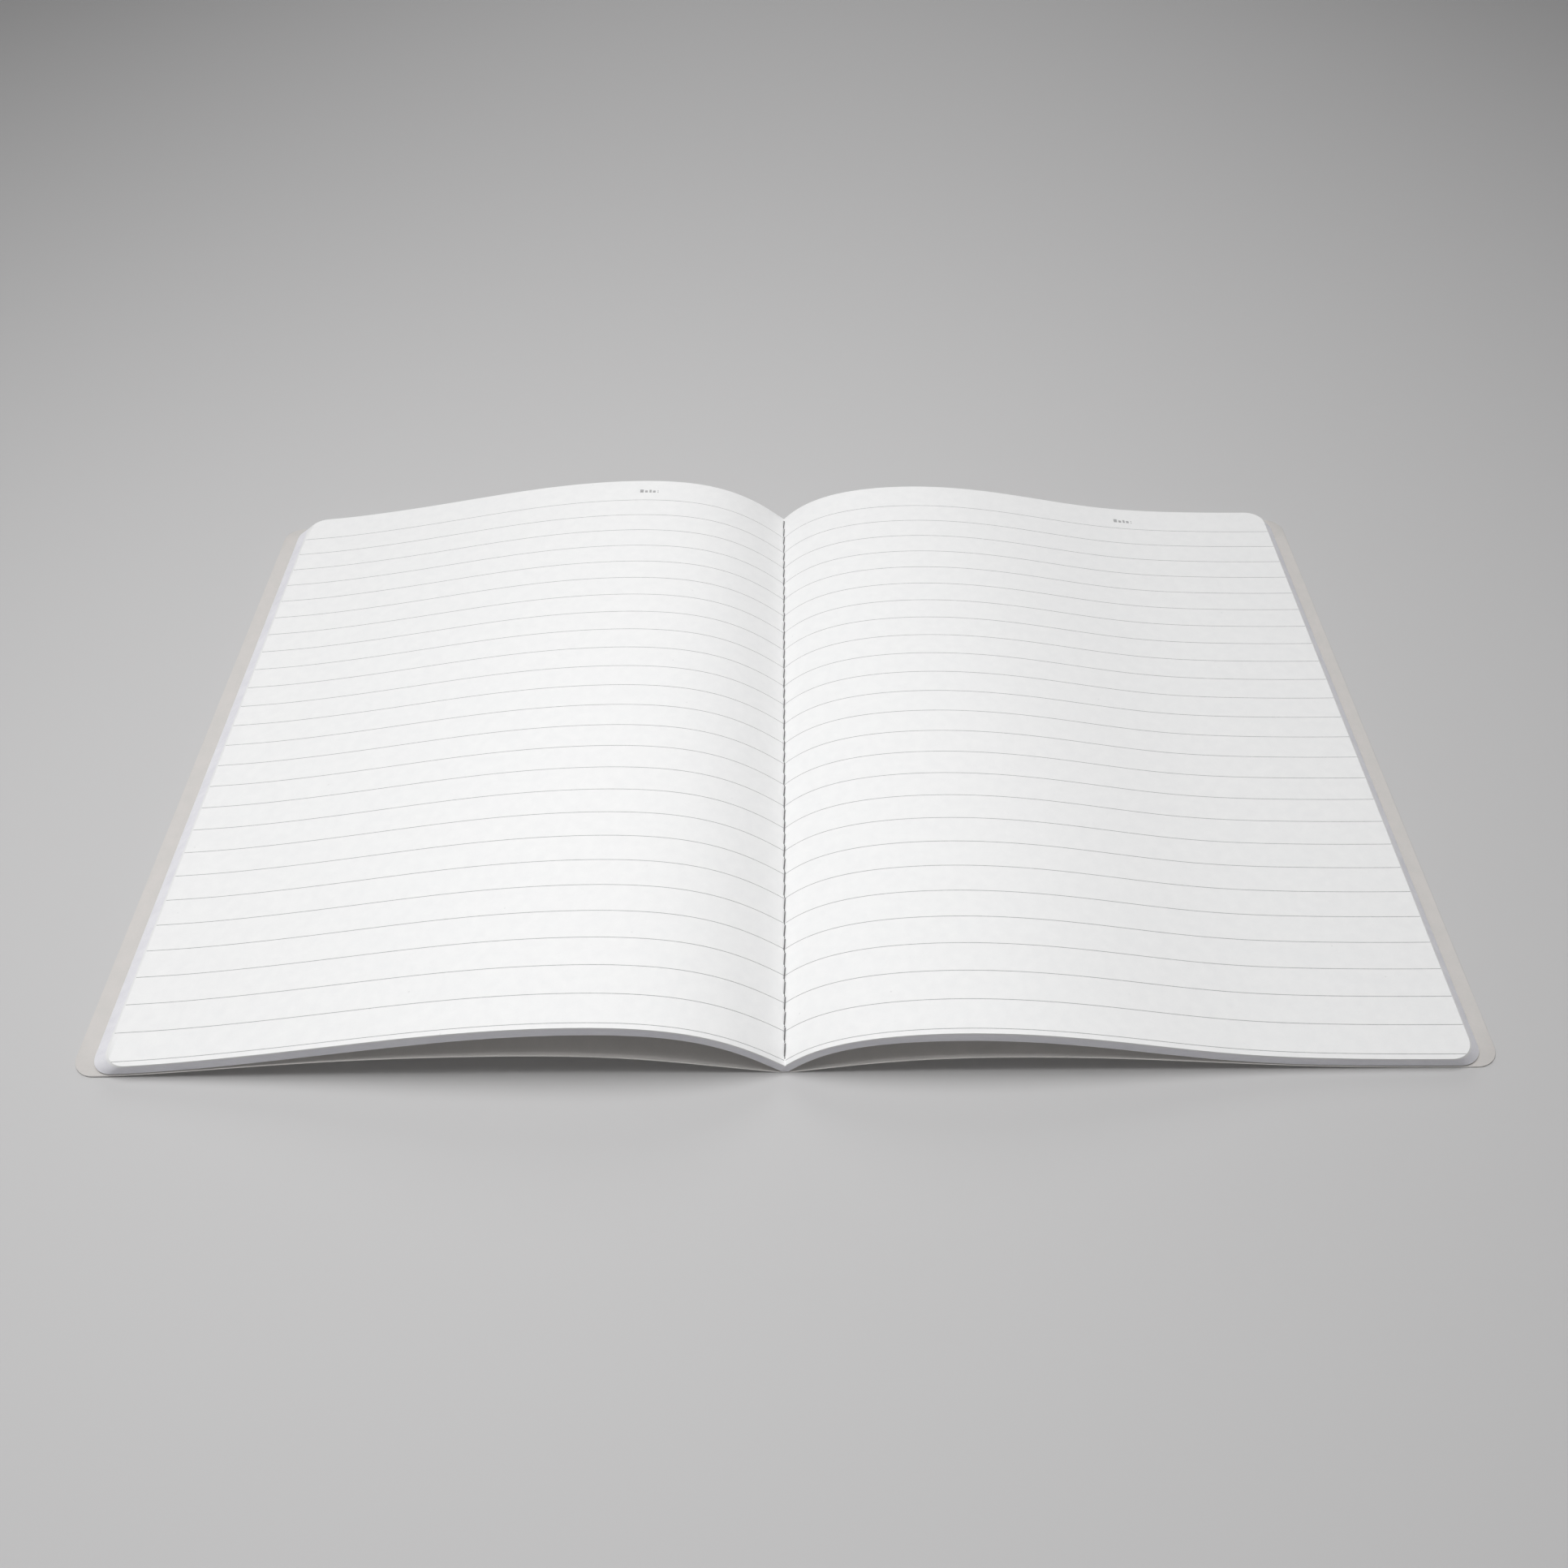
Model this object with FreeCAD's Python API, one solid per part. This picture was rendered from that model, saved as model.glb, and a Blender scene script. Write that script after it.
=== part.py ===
# Open composition notebook, sewn through the fold and lying open at its middle spread.
# Millimetres. X runs across the spread, Y from tail to head, Z up from the table.
import FreeCAD
import Part
import math
import os

Vec = FreeCAD.Vector

# trimmed book
sheet_height = 247.65
cover_half_width = 190.5
corner_radius = 6.35
card_thickness = 0.45

# block of nested folded sheets; the inner leaves come out shorter at the fore edge,
# and the half that arches higher is sheared a little further
creep = 3.4
left_extra_shear = 1.8
left_cover_overhang = 1.1
fold_thickness = 2.65
fold_flat_half = 0.9
left_crest_thickness = 3.3
left_fore_thickness = 3.5
right_crest_thickness = 3.4
right_fore_thickness = 3.0

# arch of each half over the table: distance from the fold, height of the top leaf, crest at the fourth knot
left_arch = [(7.0, 8.7), (16.0, 14.2), (30.0, 19.0), (54.0, 21.1), (90.0, 18.3), (130.0, 11.5), (181.6, 4.45)]
left_foot_inset = 8.9
right_arch = [(5.5, 8.0), (15.0, 12.9), (29.0, 16.2), (50.0, 17.4), (81.0, 14.2), (120.0, 7.0), (150.0, 4.55), (182.6, 3.95)]
right_foot_inset = 7.9

# arch of each cover half: distance from the spine, height of its underside
left_cover_arch = [(14.0, 2.2), (40.0, 6.7), (80.0, 8.3), (120.0, 6.4), (150.0, 3.3), (170.0, 1.1), (182.0, 0.22), (190.5, 0.0)]
right_cover_arch = [(15.0, 2.4), (34.0, 5.1), (63.0, 6.2), (100.0, 4.4), (131.0, 1.7), (155.0, 0.4), (174.0, 0.06), (190.5, 0.0)]

# creases where the covers turn on the sewn spine
crease_offset = 2.0
crease_gap = 0.3

# lockstitch along the fold
stitch_pitch = 5.08
tail_margin = 2.4
head_margin = 1.2
needle_thread_diameter = 0.4
bobbin_thread_diameter = 0.26
hole_clearance = 0.06
thread_seat = 0.03
bobbin_groove_side = 0.05

half_height = sheet_height / 2
page_half_width = cover_half_width - creep
gutter_height = card_thickness + fold_thickness
stitch_count = int((sheet_height - tail_margin - head_margin) / stitch_pitch)
first_hole = -half_height + tail_margin
leg_offset = needle_thread_diameter / 2 + thread_seat
hole_radius = leg_offset + needle_thread_diameter / 2 + hole_clearance
cross_height = card_thickness + fold_thickness / 2


def laid_out(arch, reach):
    # knots drawn out sideways so that the last one lies at the reach
    return [(x * reach / arch[-1][0], z) for x, z in arch]


def spline(points, start=None, end=None):
    curve = Part.BSplineCurve()
    if start is None:
        curve.interpolate(Points=points)
    else:
        curve.interpolate(Points=points, InitialTangent=start, FinalTangent=end)
    return curve


def run(curve, distance):
    return curve.parameterAtDistance(distance, curve.FirstParameter)


def below(curve, u, depth):
    # point at a depth under the curve, square to it
    t = curve.tangent(u)[0]
    n = Vec(t.z, 0, -t.x)
    if n.z > 0:
        n = n * -1
    return curve.value(u) + n * depth


def leaf(side, arch):
    # top leaf of one half, cut to the width that the trimmed page has
    points = [Vec(0, 0, gutter_height)]
    for x, z in arch:
        points.append(Vec(side * x, 0, z))
    last, foot = arch[-2:]
    slope = (foot[1] - last[1]) / (foot[0] - last[0])
    points.append(Vec(side * (foot[0] + creep * 2), 0, foot[1] + slope * creep))
    curve = spline(points)
    curve.segment(curve.FirstParameter, run(curve, page_half_width))
    return curve


def underside(side, top, crest_run, crest_thickness, fore_thickness, shear):
    # lowest leaf of the half, from the fold to the foot of the bevelled fore edge
    length = top.length()
    points = [Vec(side * fold_flat_half, 0, card_thickness)]
    for step in range(1, 15):
        s = length * (step / 14.0) ** 1.6
        if s < crest_run:
            depth = fold_thickness + (crest_thickness - fold_thickness) * s / crest_run
        else:
            part = (s - crest_run) / (length - crest_run)
            depth = crest_thickness + (fore_thickness - crest_thickness) * part
        if step < 14:
            points.append(below(top, run(top, s), depth))
    fore = top.value(top.LastParameter)
    points.append(below(top, top.LastParameter, fore_thickness) + Vec(side * shear, 0, 0))
    return spline(points), fore, points[-1]


def corner(x_edge, y_edge, radius, top_z, slant, depth):
    # waste outside one rounded corner, slanted with the stack of leaves
    sx = math.copysign(1, x_edge)
    sy = math.copysign(1, y_edge)
    spare = 8.0
    cx = x_edge - sx * radius
    cy = y_edge - sy * radius
    mid = radius * math.sqrt(0.5)
    a = Vec(x_edge, cy, top_z)
    b = Vec(cx, y_edge, top_z)
    arc = Part.Arc(a, Vec(cx + sx * mid, cy + sy * mid, top_z), b).toShape()
    c = Vec(cx, y_edge + sy * spare, top_z)
    d = Vec(x_edge + sx * spare, y_edge + sy * spare, top_z)
    e = Vec(x_edge + sx * spare, cy, top_z)
    edges = [arc, Part.makeLine(b, c), Part.makeLine(c, d), Part.makeLine(d, e), Part.makeLine(e, a)]
    face = Part.Face(Part.Wire(edges))
    return face.extrude(Vec(slant, 0, -depth))


def hole_rows(low, high):
    posts = []
    for i in range(stitch_count + 1):
        y = first_hole + i * stitch_pitch
        posts.append(Part.makeCylinder(hole_radius, high - low, Vec(0, y, low)))
    return Part.makeCompound(posts)


def page_block():
    left_top = leaf(-1, left_knots)
    right_top = leaf(1, right_knots)
    left_low, left_fore, left_toe = underside(
        -1, left_top, left_knots[3][0], left_crest_thickness, left_fore_thickness, creep + left_extra_shear)
    right_low, right_fore, right_toe = underside(
        1, right_top, right_knots[3][0], right_crest_thickness, right_fore_thickness, creep)
    fold_left = Vec(-fold_flat_half, 0, card_thickness)
    fold_right = Vec(fold_flat_half, 0, card_thickness)
    outline = Part.Wire(Part.sortEdges([
        left_top.toShape(),
        Part.makeLine(left_fore, left_toe),
        left_low.toShape(),
        Part.makeLine(fold_left, fold_right),
        right_low.toShape(),
        Part.makeLine(right_toe, right_fore),
        right_top.toShape()])[0])
    section = Part.Face(outline)
    section.translate(Vec(0, -half_height, 0))
    block = section.extrude(Vec(0, sheet_height, 0))
    for fore, toe in ((left_fore, left_toe), (right_fore, right_toe)):
        fall = fore.z - toe.z
        lean = (toe.x - fore.x) / fall
        lift = 2.0
        for end in (-1, 1):
            waste = corner(fore.x - lean * lift, end * half_height, corner_radius,
                           fore.z + lift, lean * (fall + 2 * lift), fall + 2 * lift)
            block = block.cut(waste)
    return block.cut(hole_rows(0, gutter_height + hole_radius))


def cover_half(side, arch, reach):
    # card of even thickness, its inner end rounded about the crease
    arch = laid_out(arch, reach)
    half = card_thickness / 2
    points = [Vec(side * crease_offset, 0, half)]
    for x, z in arch:
        points.append(Vec(side * x, 0, z + half))
    rise = arch[0][1] / (arch[0][0] - crease_offset)
    centre = spline(points, Vec(side, 0, rise * 0.8), Vec(side, 0, 0))
    upper = []
    lower = []
    samples = 14
    for step in range(samples + 1):
        u = run(centre, centre.length() * step / samples) if step < samples else centre.LastParameter
        upper.append(below(centre, u, -half))
        lower.append(below(centre, u, half))
    axis_point = points[0]
    inward = centre.tangent(centre.FirstParameter)[0]
    if inward.x * side > 0:
        inward = inward * -1
    cap = Part.Arc(upper[0], axis_point + inward * half, lower[0]).toShape()
    edges = [spline(upper).toShape(), cap, spline(lower).toShape(), Part.makeLine(upper[-1], lower[-1])]
    section = Part.Face(Part.Wire(Part.sortEdges(edges)[0]))
    section.translate(Vec(0, -half_height, 0))
    card = section.extrude(Vec(0, sheet_height, 0))
    x_edge = side * reach
    for end_side in (-1, 1):
        waste = corner(x_edge, end_side * half_height, corner_radius, 6.0, 0, 8.0)
        card = card.cut(waste)
    return card


def spine_strip():
    half_width = crease_offset - card_thickness / 2 - crease_gap
    strip = Part.makeBox(2 * half_width, sheet_height, card_thickness, Vec(-half_width, -half_height, 0))
    strip = strip.cut(hole_rows(-1, 2))
    groove_width = bobbin_thread_diameter + 2 * bobbin_groove_side
    groove_depth = bobbin_thread_diameter + 2 * thread_seat
    sewn = stitch_count * stitch_pitch
    groove = Part.makeBox(groove_width, sewn, groove_depth, Vec(-groove_width / 2, first_hole, 0))
    return strip.cut(groove)


def staple(diameter, run_height, leg_end):
    # one stitch: a run between two holes with a leg down or up each of them
    y0 = leg_offset
    y1 = stitch_pitch - leg_offset
    a = Vec(0, y0, leg_end)
    b = Vec(0, y0, run_height)
    c = Vec(0, y1, run_height)
    d = Vec(0, y1, leg_end)
    path = Part.Wire([Part.makeLine(a, b), Part.makeLine(b, c), Part.makeLine(c, d)])
    ring = Part.Wire([Part.makeCircle(diameter / 2, a, Vec(0, 0, 1))])
    return path.makePipeShell([ring], True, True, 1)


def stitch_row(one):
    row = []
    for i in range(stitch_count):
        stitch = one.copy()
        stitch.translate(Vec(0, first_hole + i * stitch_pitch, 0))
        row.append(stitch)
    return Part.makeCompound(row)


def seat_in_gutter():
    # height at which a thread of this size lies in the V of the gutter
    left = math.atan2(left_knots[0][1] - gutter_height, left_knots[0][0])
    right = math.atan2(right_knots[0][1] - gutter_height, right_knots[0][0])
    steep = max(left, right)
    return gutter_height + (needle_thread_diameter / 2) / math.cos(steep) + 2 * thread_seat


left_knots = laid_out(left_arch, cover_half_width - left_foot_inset)
right_knots = laid_out(right_arch, cover_half_width - right_foot_inset)
needle = staple(needle_thread_diameter, seat_in_gutter(), cross_height)
bobbin = staple(bobbin_thread_diameter, bobbin_thread_diameter / 2 + thread_seat, cross_height)

pieces = {
    "pages": page_block(),
    "front_cover": cover_half(-1, left_cover_arch, cover_half_width + left_cover_overhang),
    "back_cover": cover_half(1, right_cover_arch, cover_half_width),
    "cover_spine": spine_strip(),
    "needle_thread": stitch_row(needle),
    "bobbin_thread": stitch_row(bobbin),
}

os.makedirs("parts", exist_ok=True)
for name, shape in pieces.items():
    shape.exportStep("parts/" + name + ".step")
    box = shape.BoundBox
    print(name, "solids", len(shape.Solids), "valid", shape.isValid(), "volume", round(shape.Volume, 1))
    print("  x", round(box.XMin, 3), round(box.XMax, 3), "y", round(box.YMin, 3), round(box.YMax, 3),
          "z", round(box.ZMin, 3), round(box.ZMax, 3))

clear_left = pieces["pages"].distToShape(pieces["front_cover"])[0]
clear_right = pieces["pages"].distToShape(pieces["back_cover"])[0]
print("gap pages to front cover", round(clear_left, 3), "to back cover", round(clear_right, 3))
print("lowest point of the covers", pieces["front_cover"].BoundBox.ZMin, pieces["back_cover"].BoundBox.ZMin)
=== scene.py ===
# Composition notebook, open at the middle: ruled leaves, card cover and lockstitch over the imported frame.
import bpy
import bmesh
import math
import random
import numpy as np
from mathutils import Matrix, Vector
from mathutils.bvhtree import BVHTree
from numpy.polynomial import Chebyshev


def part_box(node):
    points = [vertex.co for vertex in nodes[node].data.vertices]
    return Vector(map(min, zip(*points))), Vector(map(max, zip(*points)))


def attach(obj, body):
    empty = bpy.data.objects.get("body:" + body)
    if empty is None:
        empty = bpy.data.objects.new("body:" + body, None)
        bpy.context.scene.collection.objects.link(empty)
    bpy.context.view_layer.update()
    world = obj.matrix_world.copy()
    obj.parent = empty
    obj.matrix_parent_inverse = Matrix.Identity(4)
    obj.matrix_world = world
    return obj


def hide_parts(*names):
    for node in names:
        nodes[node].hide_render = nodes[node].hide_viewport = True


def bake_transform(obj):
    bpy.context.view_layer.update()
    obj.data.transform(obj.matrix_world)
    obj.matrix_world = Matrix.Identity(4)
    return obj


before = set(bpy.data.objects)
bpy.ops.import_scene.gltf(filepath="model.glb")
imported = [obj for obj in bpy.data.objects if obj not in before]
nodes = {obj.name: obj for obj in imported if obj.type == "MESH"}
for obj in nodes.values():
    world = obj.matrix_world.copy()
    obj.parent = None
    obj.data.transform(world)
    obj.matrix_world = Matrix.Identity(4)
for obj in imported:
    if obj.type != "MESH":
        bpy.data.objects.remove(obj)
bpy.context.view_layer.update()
print("frame loaded:", sorted(nodes))

book = {
    "stitchPitch": 0.00508,
    "tailMargin": 0.0024,       # last needle hole to the tail edge
    "cornerRadius": 0.00635,
    "sheets": 40,               # folded sheets nested in the block
    "probeLift": 0.5,           # rays start this far above and below the table
    "probeHole": 24.5,          # and half way between two needle holes
}
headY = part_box("pages")[1].y
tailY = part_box("pages")[0].y
halfHeight = (headY - tailY) / 2
firstHole = tailY + book["tailMargin"]
stitchCount = round((headY - firstHole) / book["stitchPitch"] - 0.5)


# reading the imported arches

def nodeTree(name):
    bm = bmesh.new()
    bm.from_mesh(nodes[name].data)
    bmesh.ops.remove_doubles(bm, verts=bm.verts, dist=1e-7)
    tree = BVHTree.FromBMesh(bm)
    bm.free()
    return tree


def probe(tree, x, fromAbove):
    y = firstHole + book["probeHole"] * book["stitchPitch"]
    side = 1 if fromAbove else -1
    hit = tree.ray_cast(Vector((x, y, side * book["probeLift"])), Vector((0, 0, -side)))[0]
    return hit.z if hit else None


def smoothArch(tree, x0, x1, fromAbove, order=13):
    spread = 0.5 - 0.5 * np.cos(np.linspace(0, math.pi, 260))
    xs = [x0 + (x1 - x0) * (0.0005 + 0.999 * s) for s in spread]
    found = [(x, probe(tree, x, fromAbove)) for x in xs]
    found = [p for p in found if p[1] is not None]
    return Chebyshev.fit([p[0] for p in found], [p[1] for p in found], order)


def arcTable(curve, x0, x1):
    xs = np.linspace(x0, x1, 1500)
    zs = curve(xs)
    run = np.concatenate([[0], np.cumsum(np.hypot(np.diff(xs), np.diff(zs)))])
    return {"x": xs, "z": zs, "run": run, "length": float(run[-1])}


def alongArc(table, share):
    s = share * table["length"]
    return float(np.interp(s, table["run"], table["x"])), float(np.interp(s, table["run"], table["z"]))


pagesTree = nodeTree("pages")
halves = {}
for sideName, side in (("left", -1), ("right", 1)):
    own = [v.co for v in nodes["pages"].data.vertices if v.co.x * side > 0]
    toe = max(own, key=lambda c: abs(c.x))
    fore = max([c for c in own if c.z > toe.z + 0.0015], key=lambda c: abs(c.x))
    flat = 0.0009 * side
    halves[side] = {
        "top": arcTable(smoothArch(pagesTree, 0, fore.x, True), 0, fore.x),
        "low": arcTable(smoothArch(pagesTree, flat, toe.x, False), flat, toe.x),
    }
    print(sideName, "half: top leaf", round(halves[side]["top"]["length"] * 1000, 2), "mm, outer leaf",
          round(halves[side]["low"]["length"] * 1000, 2), "mm")
gutterZ = (halves[-1]["top"]["z"][0] + halves[1]["top"]["z"][0]) / 2
for side in (-1, 1):
    halves[side]["top"]["z"][0] = gutterZ


def leafPoint(side, share, depth):
    # a point of the block: share runs from the gutter to the fore edge, depth from the top leaf to the outer one
    x0, z0 = alongArc(halves[side]["top"], share)
    x1, z1 = alongArc(halves[side]["low"], share)
    return x0 + (x1 - x0) * depth, z0 + (z1 - z0) * depth


# shared shader groups

def newGroup(name, inputs, outputs):
    group = bpy.data.node_groups.new(name, "ShaderNodeTree")
    for label, kind, value in inputs:
        socket = group.interface.new_socket(label, in_out="INPUT", socket_type=kind)
        socket.default_value = value
    for label, kind in outputs:
        group.interface.new_socket(label, in_out="OUTPUT", socket_type=kind)
    return group


def addNode(tree, kind, **settings):
    node = tree.nodes.new(kind)
    for key, value in settings.items():
        setattr(node, key, value)
    return node


def buildFibreGroup():
    # felted paper: cloudy formation, short fibres and rare flecks
    group = newGroup(
        "pulpFibre",
        [("Cloud Scale", "NodeSocketFloat", 350.0), ("Fibre Scale", "NodeSocketFloat", 1800.0),
         ("Fleck Scale", "NodeSocketFloat", 140.0), ("Stretch", "NodeSocketFloat", 2.0)],
        [("Cloud", "NodeSocketFloat"), ("Fibre", "NodeSocketFloat"), ("Fleck", "NodeSocketFloat")])
    t = group
    source = addNode(t, "NodeGroupInput")
    result = addNode(t, "NodeGroupOutput")
    where = addNode(t, "ShaderNodeTexCoord")
    stretch = addNode(t, "ShaderNodeCombineXYZ")
    stretch.inputs[1].default_value = 1.0
    stretch.inputs[2].default_value = 1.0
    squeeze = addNode(t, "ShaderNodeVectorMath", operation="MULTIPLY")
    t.links.new(source.outputs["Stretch"], stretch.inputs[0])
    t.links.new(where.outputs["Object"], squeeze.inputs[0])
    t.links.new(stretch.outputs[0], squeeze.inputs[1])
    for label, detail, rough in (("Cloud", 3.0, 0.55), ("Fibre", 4.0, 0.7)):
        noise = addNode(t, "ShaderNodeTexNoise")
        noise.inputs["Detail"].default_value = detail
        noise.inputs["Roughness"].default_value = rough
        t.links.new(squeeze.outputs[0], noise.inputs["Vector"])
        t.links.new(source.outputs[label + " Scale"], noise.inputs["Scale"])
        t.links.new(noise.outputs["Fac"], result.inputs[label])
    cells = addNode(t, "ShaderNodeTexVoronoi")
    t.links.new(squeeze.outputs[0], cells.inputs["Vector"])
    t.links.new(source.outputs["Fleck Scale"], cells.inputs["Scale"])
    near = addNode(t, "ShaderNodeMapRange")
    near.inputs["From Min"].default_value = 0.012
    near.inputs["From Max"].default_value = 0.028
    near.inputs["To Min"].default_value = 1.0
    near.inputs["To Max"].default_value = 0.0
    t.links.new(cells.outputs["Distance"], near.inputs["Value"])
    t.links.new(near.outputs[0], result.inputs["Fleck"])
    return group


fibreGroup = buildFibreGroup()


def mixColour(tree, a, b, factor, blendType="MIX"):
    mix = addNode(tree, "ShaderNodeMix", data_type="RGBA", blend_type=blendType)
    for socket, value in ((mix.inputs[6], a), (mix.inputs[7], b)):
        if isinstance(value, tuple):
            socket.default_value = value + (1.0,)
        else:
            tree.links.new(value, socket)
    if isinstance(factor, float):
        mix.inputs[0].default_value = factor
    else:
        tree.links.new(factor, mix.inputs[0])
    return mix.outputs[2]


def rangeOf(tree, value, low, high, outLow, outHigh):
    node = addNode(tree, "ShaderNodeMapRange")
    node.inputs["From Min"].default_value = low
    node.inputs["From Max"].default_value = high
    node.inputs["To Min"].default_value = outLow
    node.inputs["To Max"].default_value = outHigh
    tree.links.new(value, node.inputs["Value"])
    return node.outputs[0]


stackShadeFade = (0.06, 0.24)        # depths of the block over which the cut edges' painted shade takes over from the top leaves' paper tone


def stockMaterial(name, look, unshadedTone=None):
    # paper, card and their cut edges share one build; a stack's upper leaves can keep the paper's tone, over the
    # painted shade that darkens the cut edges deeper down
    mat = bpy.data.materials.new(name)
    mat.use_nodes = True
    t = mat.node_tree
    shader = t.nodes["Principled BSDF"]
    fibre = addNode(t, "ShaderNodeGroup", node_tree=fibreGroup)
    fibre.inputs["Cloud Scale"].default_value = look["cloudScale"]
    fibre.inputs["Fibre Scale"].default_value = look["fibreScale"]
    fibre.inputs["Fleck Scale"].default_value = look["fleckScale"]
    fibre.inputs["Stretch"].default_value = look["stretch"]
    cloud = rangeOf(t, fibre.outputs["Cloud"], 0.3, 0.7, 0.0, 1.0)
    tone = mixColour(t, look["dark"], look["light"], cloud)
    fibres = rangeOf(t, fibre.outputs["Fibre"], 0.25, 0.75, 1.0 - look["fibreTone"], 1.0)
    tone = mixColour(t, tone, fibres, 1.0, "MULTIPLY")
    flecks = rangeOf(t, fibre.outputs["Fleck"], 0.0, 1.0, 0.0, look["fleckTone"])
    tone = mixColour(t, tone, look["fleck"], flecks)
    if unshadedTone:
        # upper leaves keep the paper's tone, deeper ones darken: painted shade down the stack's edges
        depth = addNode(t, "ShaderNodeAttribute", attribute_name="leafDepth")
        tone = mixColour(t, unshadedTone, tone, rangeOf(t, depth.outputs["Fac"], *stackShadeFade, 0.0, 1.0))
    t.links.new(tone, shader.inputs["Base Color"])
    rough = rangeOf(t, fibre.outputs["Fibre"], 0.3, 0.7, look["roughLow"], look["roughHigh"])
    t.links.new(rough, shader.inputs["Roughness"])
    shader.inputs["Specular IOR Level"].default_value = look["specular"]
    bump = addNode(t, "ShaderNodeBump")
    bump.inputs["Strength"].default_value = look["bump"]
    bump.inputs["Distance"].default_value = look["bumpDepth"]
    t.links.new(fibre.outputs["Fibre"], bump.inputs["Height"])
    t.links.new(bump.outputs["Normal"], shader.inputs["Normal"])
    return mat


paperLook = {
    "cloudScale": 300.0, "fibreScale": 2600.0, "fleckScale": 75.0, "stretch": 1.0,
    "dark": (0.868, 0.869, 0.870), "light": (0.898, 0.898, 0.896), "fibreTone": 0.03,
    "fleck": (0.66, 0.66, 0.66), "fleckTone": 0.4,
    "roughLow": 0.82, "roughHigh": 0.95, "specular": 0.25, "bump": 0.25, "bumpDepth": 0.00003,
}
# leaf cut edges: a darker lavender grey, painted shade from the gaps between and under the sheets
edgeShadeLook = {
    "cloudScale": 260.0, "fibreScale": 3000.0, "fleckScale": 90.0, "stretch": 0.2,
    "dark": (0.83, 0.825, 0.87), "light": (0.90, 0.895, 0.93), "fibreTone": 0.08,
    "fleck": (0.5, 0.5, 0.52), "fleckTone": 0.2,
    "roughLow": 0.85, "roughHigh": 0.97, "specular": 0.2, "bump": 0.4, "bumpDepth": 0.00004,
}
cardLook = {
    "cloudScale": 160.0, "fibreScale": 1500.0, "fleckScale": 110.0, "stretch": 1.3,
    "dark": (0.615, 0.598, 0.577), "light": (0.65, 0.622, 0.602), "fibreTone": 0.04,
    "fleck": (0.42, 0.40, 0.37), "fleckTone": 0.45,
    "roughLow": 0.78, "roughHigh": 0.92, "specular": 0.3, "bump": 0.35, "bumpDepth": 0.00005,
}
cardEdgeCoreAndLightLook = dict(cardLook, dark=(0.84, 0.82, 0.79), light=(0.90, 0.885, 0.86), stretch=0.3)  # paler where cut: the card's lighter core, plus painted light that the cut edge catches
leafPaper = stockMaterial("leafPaper", paperLook)
# leaf edges: painted lavender-grey shade, with the top leaves kept at the paper's tone
shadedLeafEdge = stockMaterial("shadedLeafEdge", edgeShadeLook, paperLook["light"])
coverCard = stockMaterial("coverCard", cardLook)
# cut edges of the card: paler core and painted light in one material
cardEdgeCoreAndLight = stockMaterial("cardEdgeCoreAndLight", cardEdgeCoreAndLightLook)
print("paper and card materials built")


# leaves

leafSettings = {
    "gutterSteps": 26, "gutterRun": 0.06,    # closer steps where the leaf climbs out of the fold
    "middleSteps": 26, "cornerSteps": 9,
    "gapShare": 0.10,                        # air between two sheets
    "trim": 0.000035,                        # how unevenly the sheets are cut
    "lift": 0.00012, "liftFrom": 0.9,        # top leaf's free edge stands off the rest
}
rng = random.Random(41)


def shareSteps():
    # shares of a half's width, close together at the gutter and round the corner
    length = halves[-1]["top"]["length"]
    r = book["cornerRadius"]
    s = leafSettings
    gutter = [s["gutterRun"] * (i / s["gutterSteps"]) ** 1.7 for i in range(s["gutterSteps"] + 1)]
    end = length - r
    middle = [s["gutterRun"] + (end - s["gutterRun"]) * i / s["middleSteps"] for i in range(1, s["middleSteps"] + 1)]
    corner = [end + r * math.sin(math.radians(90 * i / s["cornerSteps"])) for i in range(1, s["cornerSteps"] + 1)]
    return [v / length for v in gutter + middle + corner]


shares = shareSteps()
spreadSteps = [(-1, s) for s in reversed(shares)] + [(0, 0.0)] + [(1, s) for s in shares]


def cornerReach(side, share):
    # half height of a leaf at this share, drawn in at its rounded corners
    r = book["cornerRadius"]
    away = (1 - share) * halves[side]["top"]["length"] if side else 1
    if away >= r:
        return halfHeight
    return halfHeight - r + math.sqrt(max(0.0, r * r - (r - away) ** 2))


def spreadPoint(step, depth):
    side, share = spreadSteps[step]
    if side == 0:
        xl, zl = leafPoint(-1, 0, depth)
        xr, zr = leafPoint(1, 0, depth)
        return (xl + xr) / 2, (zl + zr) / 2
    return leafPoint(side, share, depth)


def slabMesh(acrossSteps, alongSteps, place):
    # a grid given two faces, then laid on the arch: place(i, j, layer) gives each corner
    bm = bmesh.new()
    bmesh.ops.create_grid(bm, x_segments=acrossSteps, y_segments=alongSteps, size=1)
    bmesh.ops.solidify(bm, geom=bm.faces[:], thickness=1)
    for v in bm.verts:
        i = round((v.co.x + 1) / 2 * acrossSteps)
        j = round((v.co.y + 1) / 2 * alongSteps)
        v.co = place(i, j, 1 if abs(v.co.z) > 0.5 else 0)
    bmesh.ops.remove_doubles(bm, verts=bm.verts, dist=1e-7)
    bmesh.ops.dissolve_degenerate(bm, dist=1e-8, edges=bm.edges)
    bmesh.ops.recalc_face_normals(bm, faces=bm.faces)
    return bm


def finishPiece(bm, name, material, body="sewn_block", smoothAngle=35.0):
    mesh = bpy.data.meshes.new(name)
    bm.to_mesh(mesh)
    bm.free()
    piece = bpy.data.objects.new(name, mesh)
    bpy.context.scene.collection.objects.link(piece)
    mesh.materials.append(material)
    mesh.shade_smooth()
    mesh.set_sharp_from_angle(angle=math.radians(smoothAngle))
    if body:
        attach(piece, body)
    return piece


def edgeLift(share):
    # how far the top leaf stands off near its fore edge
    start = leafSettings["liftFrom"]
    return leafSettings["lift"] * ((share - start) / (1 - start)) ** 2 if share > start else 0.0


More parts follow.
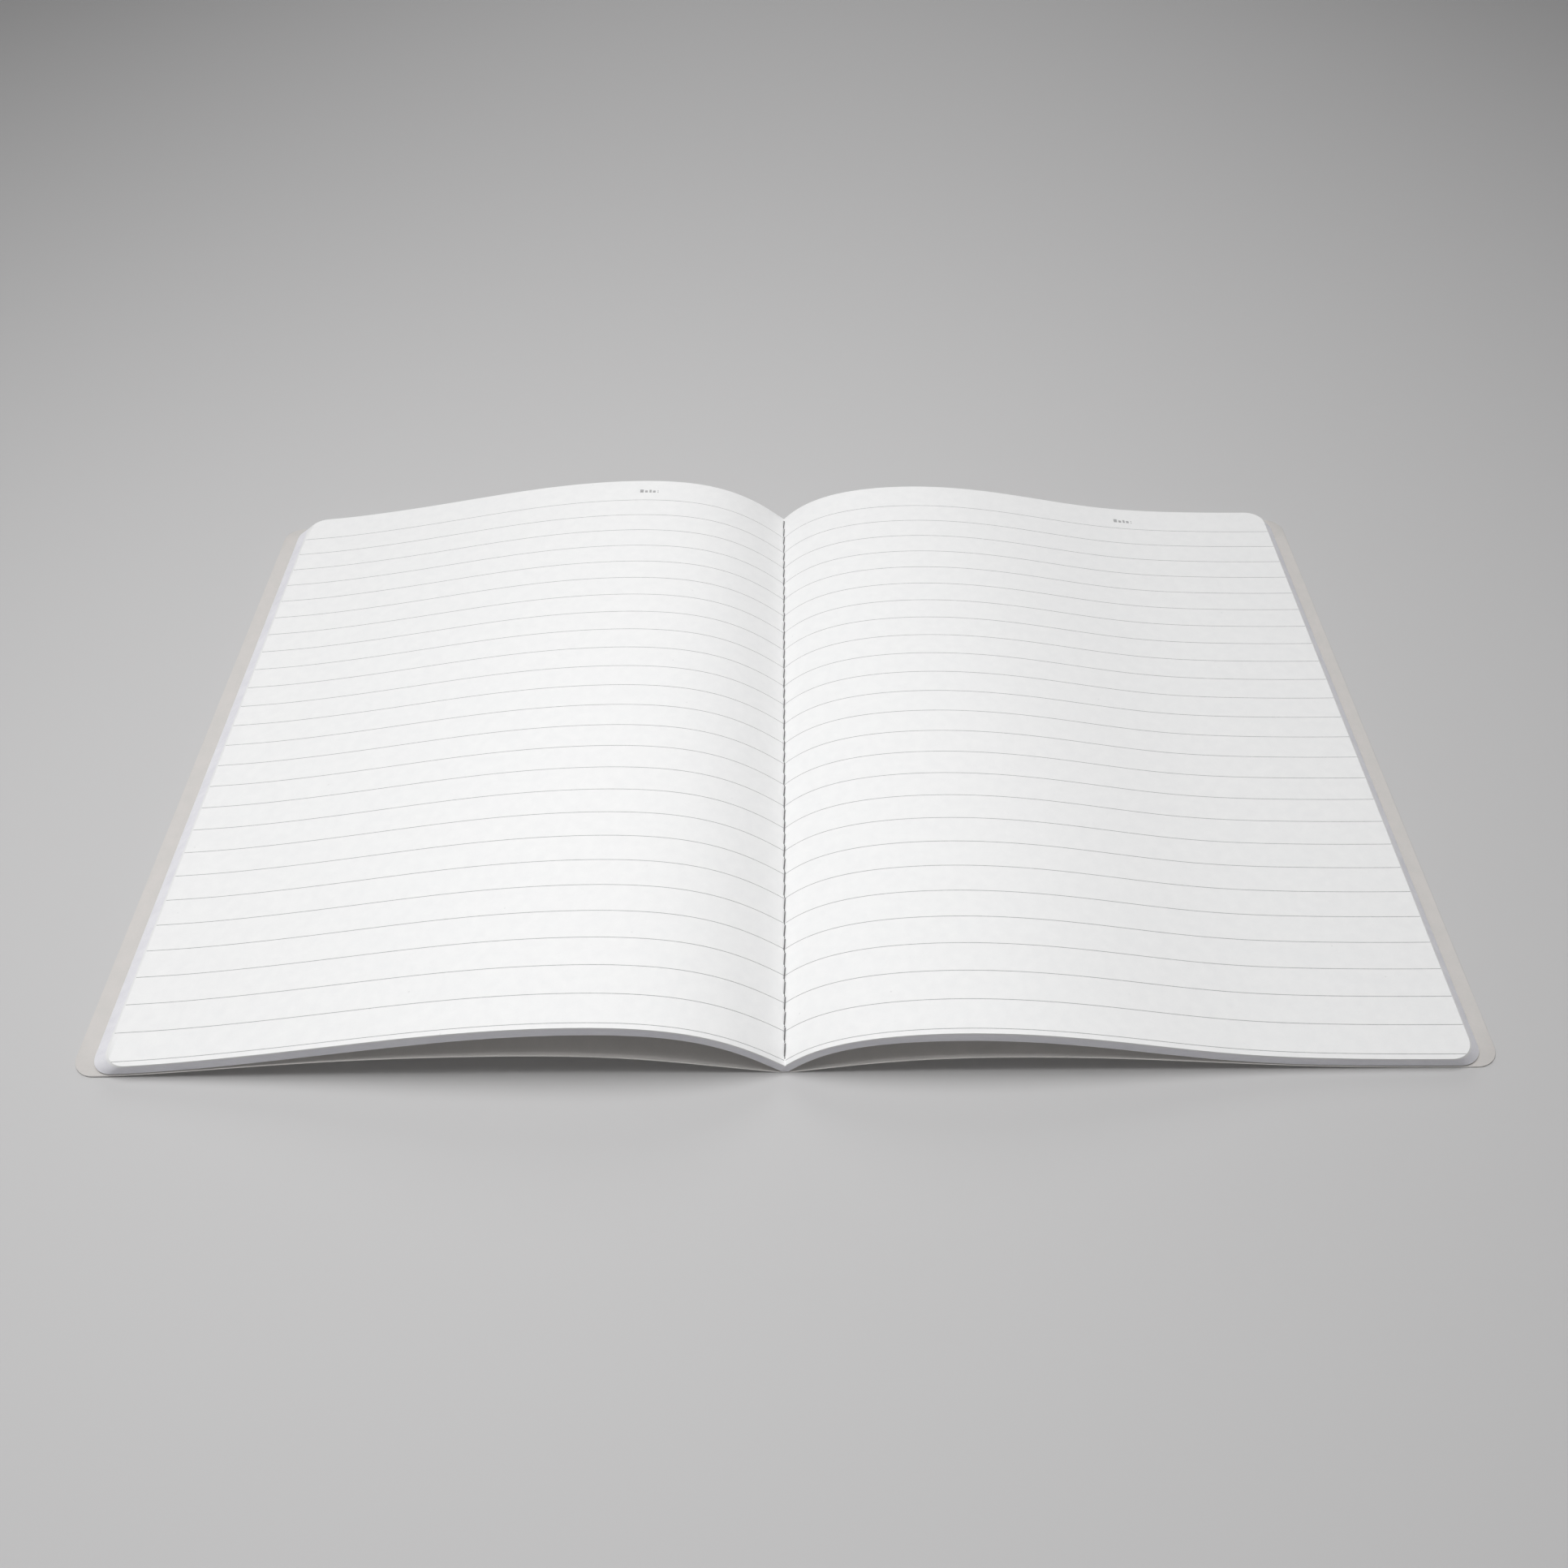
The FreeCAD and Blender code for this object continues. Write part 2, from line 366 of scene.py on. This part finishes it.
def sheetMesh(index, rows):
    # one folded sheet, both halves, between two depths of the block
    n = book["sheets"]
    air = leafSettings["gapShare"] / n / 2
    first = index / n + (air if index else 0)
    last = (index + 1) / n - (air if index < n - 1 else 0)
    trims = {1: rng.uniform(-1, 1) * leafSettings["trim"], -1: rng.uniform(-1, 1) * leafSettings["trim"]}
    if index in (0, n - 1):
        trims = {1: 0.0, -1: 0.0}
    across = len(spreadSteps) - 1

    def place(i, j, layer):
        side, share = spreadSteps[i]
        x, z = spreadPoint(i, last if layer else first)
        reach = cornerReach(side, share)
        if index == 0:
            z += edgeLift(share)
        end = 1 if j * 2 > rows else -1
        y = (2 * j / rows - 1) * (reach - abs(trims[end]))
        return Vector((x, (headY + tailY) / 2 + y, z))

    return slabMesh(across, rows, place)


topSheet = finishPiece(sheetMesh(0, 24), "topSheet", leafPaper)
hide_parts("pages")

stack = bmesh.new()
depths = []
for index in range(1, book["sheets"] - 1):
    sheet = sheetMesh(index, 1)
    depths += [index / book["sheets"]] * len(sheet.verts)
    spare = bpy.data.meshes.new("sheet")
    sheet.to_mesh(spare)
    sheet.free()
    stack.from_mesh(spare)
    bpy.data.meshes.remove(spare)
# the inner sheets all wear the painted edge shade
leafStack = finishPiece(stack, "leafStack", shadedLeafEdge)
leafStack.data.attributes.new("leafDepth", "FLOAT", "POINT").data.foreach_set("value", depths)

lowest = sheetMesh(book["sheets"] - 1, 4)
cutArea = 0.6e-6        # the fore edge's faces are smaller than this
# the outer sheet's cut edges take the painted edge shade
cutEdge = [f for f in lowest.faces if f.calc_area() < cutArea or abs(f.normal.y) > 0.9]
for f in cutEdge:
    f.material_index = 1
outerSheet = finishPiece(lowest, "outerSheet", leafPaper)
outerSheet.data.materials.append(shadedLeafEdge)
outerDepths = outerSheet.data.attributes.new("leafDepth", "FLOAT", "POINT")
outerDepths.data.foreach_set("value", [1.0] * len(outerSheet.data.vertices))
print("leaves laid:", book["sheets"], "sheets,", len(leafStack.data.polygons), "faces in the stack")


# ruling

ruling = {
    "lines": 26, "pitch": 0.009346, "headMargin": 0.0124, "width": 0.0002,
    "proud": 0.000012, "sunk": -0.000004,     # ink above and below the paper's face
    "ink": (0.45, 0.45, 0.455),
}
rulingInk = stockMaterial("rulingInk", {
    "cloudScale": 900.0, "fibreScale": 5000.0, "fleckScale": 400.0, "stretch": 1.0,
    "dark": tuple(c * 0.85 for c in ruling["ink"]), "light": tuple(c * 1.15 for c in ruling["ink"]),
    "fibreTone": 0.15, "fleck": (0.5, 0.5, 0.5), "fleckTone": 0.3,
    "roughLow": 0.7, "roughHigh": 0.85, "specular": 0.3, "bump": 0.1, "bumpDepth": 0.00001})


def ruledLine(bm, side, y, depth, up):
    # a hair-thin strip of ink that follows the leaf from the gutter to the fore edge
    r = book["cornerRadius"]
    fromEnd = min(headY - y, y - tailY)
    inset = r - math.sqrt(max(0.0, r * r - (r - fromEnd) ** 2)) if fromEnd < r else 0.0
    length = halves[side]["top"]["length"]
    lastShare = 1 - (inset + 0.0001) / length
    steps = [s for s in shares if s < lastShare - 0.002] + [lastShare]
    steps[0] = 0.00035 / length
    n = len(steps) - 1

    def place(i, j, layer):
        share = steps[i]
        x, z = leafPoint(side, share, depth)
        if depth == 0:
            z += edgeLift(share)
        lift = ruling["proud"] if layer else ruling["sunk"]
        return Vector((x, y + (j - 0.5) * ruling["width"], z + up * lift))

    strip = slabMesh(n, 1, place)
    spare = bpy.data.meshes.new("strip")
    strip.to_mesh(spare)
    strip.free()
    bm.from_mesh(spare)
    bpy.data.meshes.remove(spare)


for name, depth, up in (("ruledLines", 0.0, 1), ("outerRuledLines", 1.0, -1)):
    lines = bmesh.new()
    for k in range(ruling["lines"]):
        y = headY - ruling["headMargin"] - k * ruling["pitch"]
        for side in (-1, 1):
            ruledLine(lines, side, y, depth, up)
    finishPiece(lines, name, rulingInk)
print("ruling printed:", ruling["lines"], "lines a page")


# cover card

card = {
    "strip": 0.001475,          # half width of the strip that the sewing goes through
    "joined": 0.0023,           # where the card half begins beyond its crease
    "creaseSteps": 8, "archSteps": 44, "cornerSteps": 9, "rows": 20,
    "soften": 0.00006,
    "groove": 0.00031, "grooveHalf": 0.0002,    # pressed along the outside of the fold for the lower thread
    "spineRows": 96,
}


def cardHalf(name, nodeName, side):
    tree = nodeTree(nodeName)
    low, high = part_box(nodeName)
    foreX = low.x if side < 0 else high.x
    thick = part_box("cover_spine")[1].z
    start = card["joined"] * side
    upper = smoothArch(tree, start, foreX, True, 15)
    under = smoothArch(tree, start, foreX, False, 15)
    r = book["cornerRadius"]
    reach = abs(foreX)
    crease = [card["strip"] + (card["joined"] - card["strip"]) * i / card["creaseSteps"]
              for i in range(card["creaseSteps"] + 1)]
    arch = [card["joined"] + (reach - r - card["joined"]) * (i / card["archSteps"]) ** 1.25
            for i in range(1, card["archSteps"] + 1)]
    corner = [reach - r + r * math.sin(math.radians(90 * i / card["cornerSteps"]))
              for i in range(1, card["cornerSteps"] + 1)]
    steps = crease + arch + corner

    def heights(x):
        away = abs(x)
        if away >= card["joined"]:
            return float(upper(x)), max(0.0, float(under(x)))
        part = (away - card["strip"]) / (card["joined"] - card["strip"])
        part = part * part * (3 - 2 * part)
        return thick + (float(upper(start)) - thick) * part, max(0.0, float(under(start)) * part)

    def place(i, j, layer):
        x = steps[i] * side
        away = reach - steps[i]
        ends = halfHeight
        if away < r:
            ends = halfHeight - r + math.sqrt(max(0.0, r * r - (r - away) ** 2))
        top, bottom = heights(x)
        y = (headY + tailY) / 2 + (2 * j / card["rows"] - 1) * ends
        return Vector((x, y, bottom if layer else top))

    bm = slabMesh(len(steps) - 1, card["rows"], place)
    bm.normal_update()
    # side faces take the paler cut-edge material: the card's core plus painted light
    for f in bm.faces:
        f.material_index = 1 if abs(f.normal.z) < 0.5 else 0
    rim = [e for e in bm.edges if e.calc_face_angle(0) > 1.2 and all(abs(v.co.x) > card["joined"] for v in e.verts)]
    bmesh.ops.bevel(bm, geom=rim, offset=card["soften"], offset_type="OFFSET", segments=2, profile=0.5,
                    affect="EDGES", material=-1)
    piece = finishPiece(bm, name, coverCard, body=None, smoothAngle=50.0)
    piece.data.materials.append(cardEdgeCoreAndLight)
    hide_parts(nodeName)
    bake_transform(piece)
    return piece


frontCard = cardHalf("frontCard", "front_cover", -1)
backCard = cardHalf("backCard", "back_cover", 1)


def spineStrip():
    # the sewn fold of the card
    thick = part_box("cover_spine")[1].z
    half = card["strip"]
    across = [-half, -0.0009, -0.00035, -0.00018, -0.0001, 0.0, 0.0001, 0.00018, 0.00035, 0.0009, half]
    rows = card["spineRows"]

    def place(i, j, layer):
        x = across[i]
        y = tailY + (headY - tailY) * j / rows
        sunk = card["groove"] if abs(x) < card["grooveHalf"] and 0 < j < rows else 0.0
        return Vector((x, y, sunk if layer else thick))

    piece = finishPiece(slabMesh(len(across) - 1, rows, place), "spineStrip", coverCard,
                        smoothAngle=50.0)
    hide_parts("cover_spine")
    return piece


spineStrip()
print("cover card folded")


# lockstitch

stitch = {
    "needleRadius": 0.0002, "bobbinRadius": 0.00013, "plies": 3, "turnsPerStitch": 4.0,
    "slant": 0.00016, "wander": 0.00006, "points": 30, "dive": 0.0006,
    "plyRadius": 0.54, "plySwell": 0.46,        # shares of the thread's radius
}
threadLook = {
    "cloudScale": 900.0, "fibreScale": 5200.0, "fleckScale": 900.0, "stretch": 1.0,
    "dark": (0.15, 0.15, 0.155), "light": (0.27, 0.27, 0.275), "fibreTone": 0.3,
    "fleck": (0.4, 0.4, 0.4), "fleckTone": 0.25,
    "roughLow": 0.7, "roughHigh": 0.9, "specular": 0.3, "bump": 0.6, "bumpDepth": 0.00004,
}
threadGrey = stockMaterial("threadGrey", threadLook)


def threadRow(name, nodeName, radius, runZ, dipZ, slant):
    # twisted plies laid from hole to hole, each stitch diving into the fold at both its ends
    curve = bpy.data.curves.new(name, "CURVE")
    curve.dimensions = "3D"
    curve.bevel_depth = radius * stitch["plyRadius"]
    curve.bevel_resolution = 1
    curve.resolution_u = 2
    for k in range(stitchCount):
        y0 = firstHole + k * book["stitchPitch"] + radius * 1.3
        y1 = y0 + book["stitchPitch"] - radius * 2.6
        sway0 = -slant + rng.uniform(-1, 1) * stitch["wander"] * bool(slant)
        sway1 = slant + rng.uniform(-1, 1) * stitch["wander"] * bool(slant)
        phase = rng.uniform(0, 6.28)
        for ply in range(stitch["plies"]):
            spline = curve.splines.new("POLY")
            spline.points.add(stitch["points"] - 1)
            for i, point in enumerate(spline.points):
                part = i / (stitch["points"] - 1)
                y = y0 + (y1 - y0) * part
                nearest = min(part, 1 - part) * (y1 - y0)
                drop = (1 - min(1, nearest / stitch["dive"])) ** 2
                z = runZ + (dipZ - runZ) * drop
                x = sway0 + (sway1 - sway0) * part
                turn = phase + 2 * math.pi * (ply / stitch["plies"] + stitch["turnsPerStitch"] * part)
                swell = radius * stitch["plySwell"]
                point.co = (x + swell * math.cos(turn), y, z + swell * math.sin(turn), 1)
    rough = bpy.data.objects.new(name + "Curve", curve)
    bpy.context.scene.collection.objects.link(rough)
    mesh = bpy.data.meshes.new_from_object(rough.evaluated_get(bpy.context.evaluated_depsgraph_get()))
    bpy.data.objects.remove(rough)
    bm = bmesh.new()
    bm.from_mesh(mesh)
    bpy.data.meshes.remove(mesh)
    bmesh.ops.holes_fill(bm, edges=[e for e in bm.edges if e.is_boundary], sides=0)
    bmesh.ops.recalc_face_normals(bm, faces=bm.faces)
    piece = finishPiece(bm, name, threadGrey, smoothAngle=70.0)
    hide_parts(nodeName)
    return piece


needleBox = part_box("needle_thread")
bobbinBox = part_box("bobbin_thread")
threadRow("gutterThread", "needle_thread", stitch["needleRadius"], needleBox[1].z - stitch["needleRadius"],
          gutterZ - 0.00025, stitch["slant"])
threadRow("spineThread", "bobbin_thread", stitch["bobbinRadius"], bobbinBox[0].z + stitch["bobbinRadius"],
          bobbinBox[0].z + 0.0004, 0.0)
print("lockstitch sewn:", stitchCount, "stitches")


# needle holes: a near-black cylinder in each, painted shade standing in for the hole's dark inside, and the lips of
# paper that the needle pushed up

hole = {
    "shadePlugRadius": 0.0002, "shadePlugTop": 0.00013,
    "lipWide": 0.00022, "lipLong": 0.00034, "lipTall": 0.00013, "lipLean": 0.67,
}
# near-black fill: painted shade inside the needle holes
holeShadeFill = stockMaterial("holeShadeFill", {
    "cloudScale": 900.0, "fibreScale": 5000.0, "fleckScale": 600.0, "stretch": 1.0,
    "dark": (0.05, 0.05, 0.052), "light": (0.09, 0.09, 0.092), "fibreTone": 0.2,
    "fleck": (0.3, 0.3, 0.3), "fleckTone": 0.2,
    "roughLow": 0.9, "roughHigh": 1.0, "specular": 0.1, "bump": 0.2, "bumpDepth": 0.00002})
holeShadePlugs = bmesh.new()
lips = bmesh.new()
for k in range(stitchCount + 1):
    y = firstHole + k * book["stitchPitch"]
    top = gutterZ + hole["shadePlugTop"]
    tall = top - (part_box("cover_spine")[1].z + 0.0003)
    bmesh.ops.create_cone(holeShadePlugs, cap_ends=True, segments=12, radius1=hole["shadePlugRadius"], radius2=hole["shadePlugRadius"],
                          depth=tall, matrix=Matrix.Translation((0, y, top - tall / 2)))
    for side in (-1, 1):
        grown = rng.uniform(0.6, 1.15) if side < 0 else rng.uniform(0.25, 0.8)
        x = side * rng.uniform(0.00030, 0.00040)
        z = float(np.interp(abs(x), np.abs(halves[side]["top"]["x"]), halves[side]["top"]["z"]))
        shape = Matrix.Translation((x, y + rng.uniform(-1, 1) * 0.0001, z))
        shape = shape @ Matrix.Rotation(-side * hole["lipLean"], 4, "Y")
        spans = [hole[key] * grown for key in ("lipWide", "lipLong", "lipTall")]
        shape = shape @ Matrix.Diagonal((*spans, 1))
        bmesh.ops.create_uvsphere(lips, u_segments=10, v_segments=6, radius=1, matrix=shape)
bmesh.ops.recalc_face_normals(holeShadePlugs, faces=holeShadePlugs.faces)
bmesh.ops.recalc_face_normals(lips, faces=lips.faces)
# the painted hole shade, then the paper lips
finishPiece(holeShadePlugs, "needleHoleShade", holeShadeFill)
finishPiece(lips, "holeLips", leafPaper)
print("needle holes punched:", stitchCount + 1)


# one small printed mark in each head margin, in plain blocks

headMark = {
    "left": (-0.0498, 0.1162), "right": (0.1284, 0.1152),
    "blocks": [     # place, width, height
        (-0.0029, 0.0013, 0.0019), (-0.0012, 0.0010, 0.0013), (0.0003, 0.0008, 0.0017), (0.0017, 0.0010, 0.0013),
    ],
    "dots": (0.0031, 0.0004, 0.0009),       # place, size, spread
}


def printMark(name, x, y):
    side = 1 if x > 0 else -1
    table = halves[side]["top"]
    shapes = [(dx, tall / 2, wide, tall) for dx, wide, tall in headMark["blocks"]]
    place, size, spread = headMark["dots"]
    shapes += [(place, size / 2, size, size), (place, size / 2 + spread, size, size)]
    bm = bmesh.new()
    for dx, dy, wide, tall in shapes:

        def lay(i, j, layer):
            px = x + dx + (i - 0.5) * wide
            pz = float(np.interp(abs(px), np.abs(table["x"]), table["z"]))
            return Vector((px, y + dy + (j - 0.5) * tall, pz + ruling["proud" if layer else "sunk"]))

        mark = slabMesh(1, 1, lay)
        spare = bpy.data.meshes.new("mark")
        mark.to_mesh(spare)
        mark.free()
        bm.from_mesh(spare)
        bpy.data.meshes.remove(spare)
    return finishPiece(bm, name, rulingInk)


printMark("leftHeadMark", *headMark["left"])
printMark("rightHeadMark", *headMark["right"])
print("head marks printed")


# table, lamps and camera

studio = {
    "table": (0.562, 0.558, 0.559),
    "tableReach": 0.95, "tableZ": -0.00002,     # just under the cover, so that their faces don't share a plane
    "world": (0.088, 0.088, 0.089),
    "backdrop": (0.40, 0.395, 0.396),      # seen beyond the table, not lighting it
    "lamps": [      # place, size, power
        ("overhead", (0.0, 0.0, 0.9), 0.5, 3.85),
        ("lowSoft", (-0.15, -0.1, 0.55), 0.3, 1.2),
        ("left", (-0.9, 0.0, 0.6), 0.5, 0.5),
        ("back", (0.0, 0.9, 0.7), 0.5, 1.9),
        ("front", (0.0, -0.9, 0.8), 0.5, 1.1),
    ],
}
tableMesh = bmesh.new()
bmesh.ops.create_grid(tableMesh, x_segments=1, y_segments=1, size=studio["tableReach"])
tableTop = finishPiece(tableMesh, "tableTop", bpy.data.materials.new("tableGrey"), body=None)
tableTop.data.transform(Matrix.Translation((0, 0, studio["tableZ"])))
tableGrey = tableTop.data.materials[0]
tableGrey.use_nodes = True
tableShader = tableGrey.node_tree.nodes["Principled BSDF"]
tableShader.inputs["Base Color"].default_value = studio["table"] + (1.0,)
tableShader.inputs["Roughness"].default_value = 0.9

world = bpy.data.worlds.new("studioWorld")
bpy.context.scene.world = world
world.use_nodes = True
sky = world.node_tree
seen = addNode(sky, "ShaderNodeLightPath")
mirrored = addNode(sky, "ShaderNodeMath", operation="MAXIMUM")
anySight = addNode(sky, "ShaderNodeMath", operation="MAXIMUM")
sky.links.new(seen.outputs["Is Glossy Ray"], mirrored.inputs[0])
sky.links.new(seen.outputs["Is Transmission Ray"], mirrored.inputs[1])
sky.links.new(seen.outputs["Is Camera Ray"], anySight.inputs[0])
sky.links.new(mirrored.outputs[0], anySight.inputs[1])
skyTone = mixColour(sky, studio["world"], studio["backdrop"], anySight.outputs[0])
sky.links.new(skyTone, sky.nodes["Background"].inputs["Color"])

for name, place, size, power in studio["lamps"]:
    lamp = bpy.data.lights.new(name, "AREA")
    lamp.size = size
    lamp.energy = power
    stand = bpy.data.objects.new(name, lamp)
    bpy.context.scene.collection.objects.link(stand)
    stand.location = place
    stand.rotation_euler = (-Vector(place)).to_track_quat("-Z", "Y").to_euler()

view = {    # angles in radians
    "place": (0.00321, -0.3409, 0.33035), "down": 0.79359, "yaw": 0.01031, "roll": 0.01595, "lens": 33.385,
}
photoCamera = bpy.data.cameras.new("photoCamera")
photoCamera.lens = view["lens"]
photoCamera.sensor_width = 36.0
photoCamera.clip_start = 0.01
cameraObject = bpy.data.objects.new("photoCamera", photoCamera)
bpy.context.scene.collection.objects.link(cameraObject)
turn = Matrix.Rotation(view["yaw"], 4, "Z") @ Matrix.Rotation(math.pi / 2 - view["down"], 4, "X")
turn = turn @ Matrix.Rotation(-view["roll"], 4, "Z")
cameraObject.matrix_world = Matrix.Translation(view["place"]) @ turn
bpy.context.scene.camera = cameraObject
bpy.context.scene.view_settings.view_transform = "Standard"
print("table, lamps and camera set")
